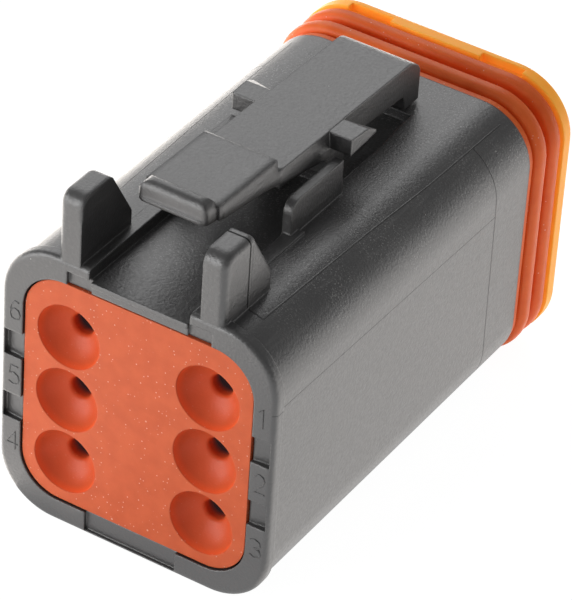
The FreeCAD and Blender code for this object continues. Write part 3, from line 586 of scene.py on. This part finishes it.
def silicone(name, deep, pale, gloss, dust_share, has_cups):
    """Cloudy silicone between two colours, with fine pale specks, and polished cups if it has them."""
    material, tree = new_material(name)
    point = drawing(tree)
    haze, skin = clouds(point, HAZE_SIZE, 4.0), clouds(point, SKIN_SIZE)
    specks = larger(dots(point, *FINE_SPECKS, dust_share), dots(point, *COARSE_SPECKS, dust_share))
    colour, glow = mix_colour(haze.fade(0.25, 0.75), deep, pale), NO_GLOW
    rough = gloss + haze * 0.15
    if has_cups:
        colour, face, glow = cups(point, colour)
        rough = rough - (1 - face) * 0.15
        specks = specks * (face * 0.85 + 0.15)
    surface = tree.node("ShaderNodeBsdfPrincipled", {}, {
        "Base Color": mix_colour(specks * SPECKS_SHOW, colour, SPECK), "Roughness": rough,
        "Specular IOR Level": 0.3, "Emission Color": glow, "Emission Strength": 1.0,
        "Subsurface Weight": 0.12, "Subsurface Radius": SILICONE_RADIUS,
        "Subsurface Scale": SILICONE_SCALE * MM,
        "Normal": bumped(tree, skin * 0.5 + specks * 0.5, 0.02, 0.1)})
    print(name, "has", show(tree, surface), "nodes")
    return material


finish(["rear_grommet"], silicone("grommet_silicone", (0.61, 0.110, 0.037, 1.0),
                                  (0.68, 0.133, 0.049, 1.0), 0.50, 0.6, has_cups=True))
finish(["interface_seal"], silicone("seal_silicone", (0.80, 0.125, 0.018, 1.0),
                                    (0.86, 0.16, 0.03, 1.0), 0.40, 0.12, has_cups=False))

# %% [markdown]
# ## Light-orange wedge
# The wedge is an unfilled plastic, clear enough at its thin edges to let some light through. Real light
# through so thin a wall takes many samples, so a little emission of the same orange stands for it.

# %% Orange plastic
PALE_ORANGE, YELLOW_ORANGE = (1.0, 0.41, 0.035, 1.0), (1.0, 0.47, 0.055, 1.0)
THROUGH_LIGHT = (1.0, 0.34, 0.03, 1.0)
ORANGE_RADIUS, ORANGE_SCALE = (1.0, 0.5, 0.15), 1.0
FLOW_SIZE, SATIN_SIZE = 3.0, 0.2


def orange_plastic(name):
    """Slightly clear orange plastic with a satin skin."""
    material, tree = new_material(name)
    point = drawing(tree)
    flow, skin = clouds(point, FLOW_SIZE), clouds(point, SATIN_SIZE)
    surface = tree.node("ShaderNodeBsdfPrincipled", {}, {
        "Base Color": mix_colour(flow.fade(0.3, 0.7), PALE_ORANGE, YELLOW_ORANGE),
        "Roughness": 0.42 + flow * 0.12, "Specular IOR Level": 0.35,
        "Emission Color": THROUGH_LIGHT, "Emission Strength": 0.20,
        "Subsurface Weight": 0.3, "Subsurface Radius": ORANGE_RADIUS,
        "Subsurface Scale": ORANGE_SCALE * MM, "Normal": bumped(tree, skin, 0.01, 0.15)})
    print(name, "has", show(tree, surface), "nodes")
    return material


finish(["wedge_lock"], orange_plastic("orange_plastic"))

# %% [markdown]
# ## Cavity numbers
# The rear rim is marked 1 to 6 beside the cavities, in lines as fine as a hair. A pointed tool cut them
# into the mould along a single line, so each digit here is one bevelled curve of the same kind, sunk
# halfway into the rim, and not a solid letter from a font.

# %% Lines of the numbers
DIGITS = {
    "1": [[(0.2, 0.78), (0.6, 1.0), (0.6, 0.0)]],
    "2": [[(0.05, 0.8), (0.2, 0.96), (0.5, 1.0), (0.82, 0.93), (0.95, 0.72), (0.85, 0.52),
           (0.5, 0.3), (0.1, 0.0), (1.0, 0.0)]],
    "3": [[(0.08, 0.9), (0.45, 1.0), (0.85, 0.9), (0.92, 0.7), (0.8, 0.55), (0.4, 0.5)],
          [(0.4, 0.5), (0.85, 0.45), (0.98, 0.25), (0.85, 0.07), (0.45, 0.0), (0.05, 0.1)]],
    "4": [[(0.75, 0.0), (0.75, 1.0), (0.0, 0.3), (1.0, 0.3)]],
    "5": [[(0.9, 1.0), (0.2, 1.0), (0.12, 0.55), (0.5, 0.64), (0.88, 0.52), (0.98, 0.3),
           (0.85, 0.08), (0.45, 0.0), (0.05, 0.1)]],
    "6": [[(0.85, 0.95), (0.5, 1.0), (0.15, 0.75), (0.03, 0.35), (0.2, 0.06), (0.5, 0.0),
           (0.85, 0.08), (0.97, 0.3), (0.8, 0.53), (0.5, 0.6), (0.2, 0.5), (0.06, 0.32)]],
}
print("strokes:", {digit: len(strokes) for digit, strokes in DIGITS.items()})

# %% Numbers on the rim
NUMBER_PLACES = {"6": (-9.25, 5.45), "5": (-9.25, 0.3), "4": (-9.25, -4.95),
                 "1": (9.3, 5.4), "2": (9.4, 0.3), "3": (9.4, -4.9)}
DIGIT_WIDTH, DIGIT_HEIGHT = 0.85, 1.45
STROKE_RADIUS, STROKE_ROUNDNESS = 0.055, 2


def number(digit):
    """One digit as a fine round line, half sunk in the rear rim."""
    middle_x, middle_z = NUMBER_PLACES[digit]
    curve = bpy.data.curves.new("number_" + digit, "CURVE")
    curve.dimensions = "3D"
    curve.bevel_depth = STROKE_RADIUS * MM
    curve.bevel_resolution = STROKE_ROUNDNESS
    for stroke in DIGITS[digit]:
        spline = curve.splines.new("POLY")
        spline.points.add(len(stroke) - 1)
        for knot, (across, height) in zip(spline.points, stroke):
            x = middle_x + (across - 0.5) * DIGIT_WIDTH
            z = middle_z + (height - 0.5) * DIGIT_HEIGHT
            knot.co = (*place(x, 0.0, z), 1.0)
    piece = bpy.data.objects.new("number_" + digit, curve)
    bpy.context.scene.collection.objects.link(piece)
    return piece


for digit in DIGITS:
    piece = number(digit)
    piece.data.materials.append(black)
    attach(piece, "plug_body")
    print(piece.name, [round(side / MM, 2) for side in piece.dimensions], "mm")
